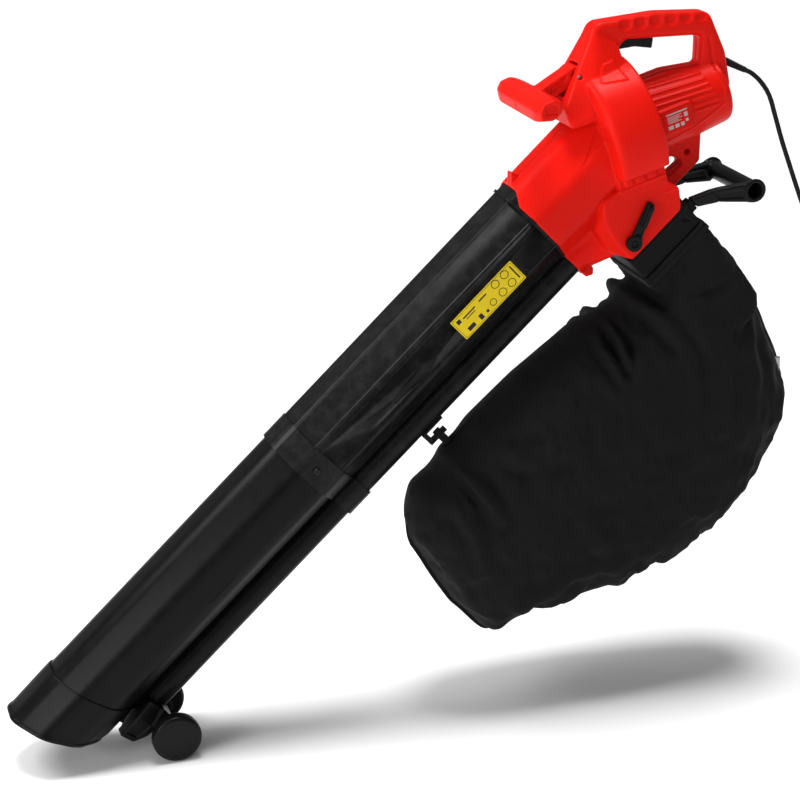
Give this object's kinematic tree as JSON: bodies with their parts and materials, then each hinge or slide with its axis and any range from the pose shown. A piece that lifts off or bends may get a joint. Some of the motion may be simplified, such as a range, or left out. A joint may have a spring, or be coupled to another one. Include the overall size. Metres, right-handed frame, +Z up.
{
  "type": "leaf vacuum mulcher",
  "caption": "Hand-held garden leaf vacuum, shredder and blower: octagonal suction tube over a wheeled blower tube, fan housing with looped handle, and a hanging fabric collection bag.",
  "frame": {"origin": "middle of the main handle's grip, where a hand carries the machine", "axes": "+X to the rear, towards the cable; +Z up in the carrying position shown; -Y is the side with the mode lever, so the suction tube points down and forwards along -X"},
  "size_m": [1.1398, 0.2, 0.9537],
  "materials": {
    "red_plastic": "satin moulded",
    "black_plastic": "satin moulded",
    "rubber": "matt",
    "fabric": "woven nylon",
    "webbing": "woven webbing",
    "steel": "machined",
    "screw_steel": "zinc plated",
    "aluminium": "cast",
    "copper": "bare",
    "yellow_label": "printed film",
    "silver_label": "printed film"
  },
  "bodies": {
    "machine": {"housing_near": "red_plastic", "housing_far": "red_plastic", "lower_tube": "black_plastic", "nozzle_sleeve": "black_plastic", "upper_tube": "black_plastic", "bag_hook": "black_plastic", "wheel_carrier": "black_plastic", "fan_back_plate": "black_plastic", "switch_module": "black_plastic", "strain_relief": "rubber", "power_cord": "rubber", "plug": "rubber", "bag_strap": "webbing", "wheel_axle": "steel", "front_bearing": "steel", "stator": "steel", "rear_bearing": "steel", "trigger_pin": "steel", "front_grip_bolt": "steel", "tube_screw_near": "screw_steel", "tube_screw_far": "screw_steel", "housing_screw_1": "screw_steel", "housing_screw_2": "screw_steel", "housing_screw_3": "screw_steel", "housing_screw_4": "screw_steel", "field_winding_upper": "copper", "field_winding_lower": "copper", "brush_holder_near": "copper", "brush_holder_far": "copper", "plug_pin_1": "copper", "plug_pin_2": "copper", "upper_tube_label": "yellow_label", "rating_label": "silver_label"},
    "rotor": {"motor_shaft": "steel", "impeller": "aluminium", "impeller_nut": "screw_steel", "cooling_fan": "black_plastic", "armature_core": "steel", "commutator": "copper"},
    "diverter": {"mode_lever": "black_plastic", "flap_shaft": "steel", "diverter_flap": "black_plastic"},
    "trigger_lever": {"trigger": "black_plastic"},
    "front_grip": {"front_grip_near": "red_plastic", "front_grip_far": "red_plastic"},
    "near_wheel": {"wheel_near": "black_plastic"},
    "far_wheel": {"wheel_far": "black_plastic"},
    "bag_unit": {"bag": "fabric", "bag_collar": "black_plastic", "bag_carry_handle": "black_plastic", "bag_latch": "black_plastic"}
  },
  "joints": [
    {"name": "rotor_spin", "type": "hinge", "parent": "machine", "child": "rotor", "pos_m": [-0.088, 0, -0.148], "axis": [0.9563, 0, 0.2924], "continuous": true},
    {"name": "mode_lever_turn", "type": "hinge", "parent": "machine", "child": "diverter", "pos_m": [-0.04923, 0, -0.27557], "axis": [0, 1, 0], "range_deg": [0, 75]},
    {"name": "trigger_pull", "type": "hinge", "parent": "machine", "child": "trigger_lever", "pos_m": [-0.052, 0, -0.0165], "axis": [0, -1, 0], "range_deg": [0, 9], "stiffness_Nm_per_rad": 0.3, "springref_deg": -17.19},
    {"name": "front_grip_tilt", "type": "hinge", "parent": "machine", "child": "front_grip", "pos_m": [-0.116, 0, -0.06], "axis": [0, 1, 0], "range_deg": [-8, 8]},
    {"name": "near_wheel_roll", "type": "hinge", "parent": "machine", "child": "near_wheel", "pos_m": [-0.68142, -0.055, -0.9059], "axis": [0, 1, 0], "continuous": true},
    {"name": "far_wheel_roll", "type": "hinge", "parent": "machine", "child": "far_wheel", "pos_m": [-0.68142, 0.055, -0.9059], "axis": [0, 1, 0], "continuous": true},
    {"name": "bag_release", "type": "slide", "parent": "machine", "child": "bag_unit", "axis": [0.6896, 0, -0.7242], "range_m": [0, 0.08]}
  ]
}
